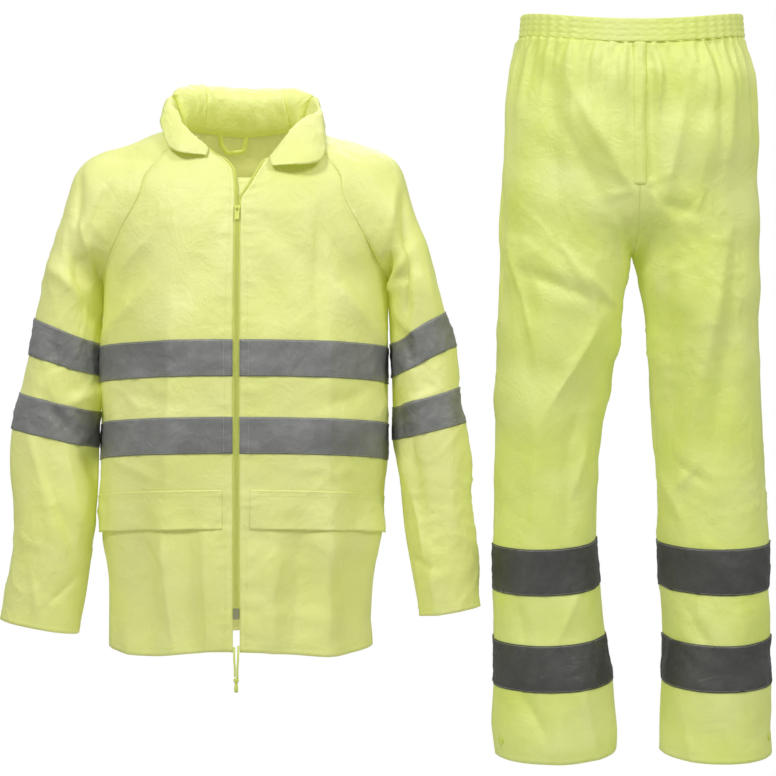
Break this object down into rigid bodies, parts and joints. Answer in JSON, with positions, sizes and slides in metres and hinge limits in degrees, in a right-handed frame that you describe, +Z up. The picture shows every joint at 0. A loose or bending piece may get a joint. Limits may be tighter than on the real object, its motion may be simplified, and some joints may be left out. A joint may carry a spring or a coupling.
{
  "type": "rain suit",
  "caption": "High-visibility rain suit: zipped jacket with stowed hood and reflective tapes, beside matching elastic-waist trousers, both open and hollow.",
  "frame": {"origin": "where the wearer's shoulders carry the jacket, at the middle of the neck", "axes": "+Z up, the fronts face -Y, the trousers stand beside the jacket along +X"},
  "size_m": [1.0879, 0.3074, 1.0503],
  "materials": {
    "jacket_cloth": "coated fluorescent yellow cloth, soft sheen",
    "trouser_cloth": "coated fluorescent yellow cloth, slightly deeper",
    "reflective_tape": "grey reflective tape, fine crinkle",
    "zip_tape": "woven zip tape with moulded coil",
    "zip_metal": "yellow enamel",
    "zip_patch": "olive-grey reinforcing patch",
    "stud": "yellow snap fastener",
    "cord": "braided cord"
  },
  "bodies": {
    "suit": {"front_left": "jacket_cloth", "front_right": "jacket_cloth", "back": "jacket_cloth", "body_tape_upper_left": "reflective_tape", "body_tape_lower_left": "reflective_tape", "body_tape_upper_right": "reflective_tape", "body_tape_lower_right": "reflective_tape", "body_tape_upper_back": "reflective_tape", "body_tape_lower_back": "reflective_tape", "pocket_flap_left": "jacket_cloth", "pocket_flap_right": "jacket_cloth", "sleeve_left": "jacket_cloth", "sleeve_tape_lower_left": "reflective_tape", "sleeve_tape_upper_left": "reflective_tape", "sleeve_right": "jacket_cloth", "sleeve_tape_lower_right": "reflective_tape", "sleeve_tape_upper_right": "reflective_tape", "collar": "jacket_cloth", "hood_roll": "jacket_cloth", "hanger_loop": "jacket_cloth", "zip_guard": "jacket_cloth", "zip_left": "zip_tape", "zip_right": "zip_tape", "zip_slider": "zip_metal", "zip_end_patch": "zip_patch", "cord_left": "cord", "cord_right": "cord", "cord_knot": "cord", "trouser_front_left": "trouser_cloth", "trouser_back_left": "trouser_cloth", "trouser_front_right": "trouser_cloth", "trouser_back_right": "trouser_cloth", "leg_tape_upper_left": "reflective_tape", "leg_tape_lower_left": "reflective_tape", "leg_tape_upper_right": "reflective_tape", "leg_tape_lower_right": "reflective_tape", "fly_strip": "trouser_cloth", "press_stud_left": "stud", "press_stud_right": "stud", "waistband": "trouser_cloth"},
    "pull": {"zip_pull": "zip_metal"}
  },
  "joints": [
    {"name": "pull_tab_hinge", "type": "hinge", "parent": "suit", "child": "pull", "pos_m": [0, -0.12807, -0.09194], "axis": [-1, 0, 0], "range_deg": [0, 150]}
  ]
}
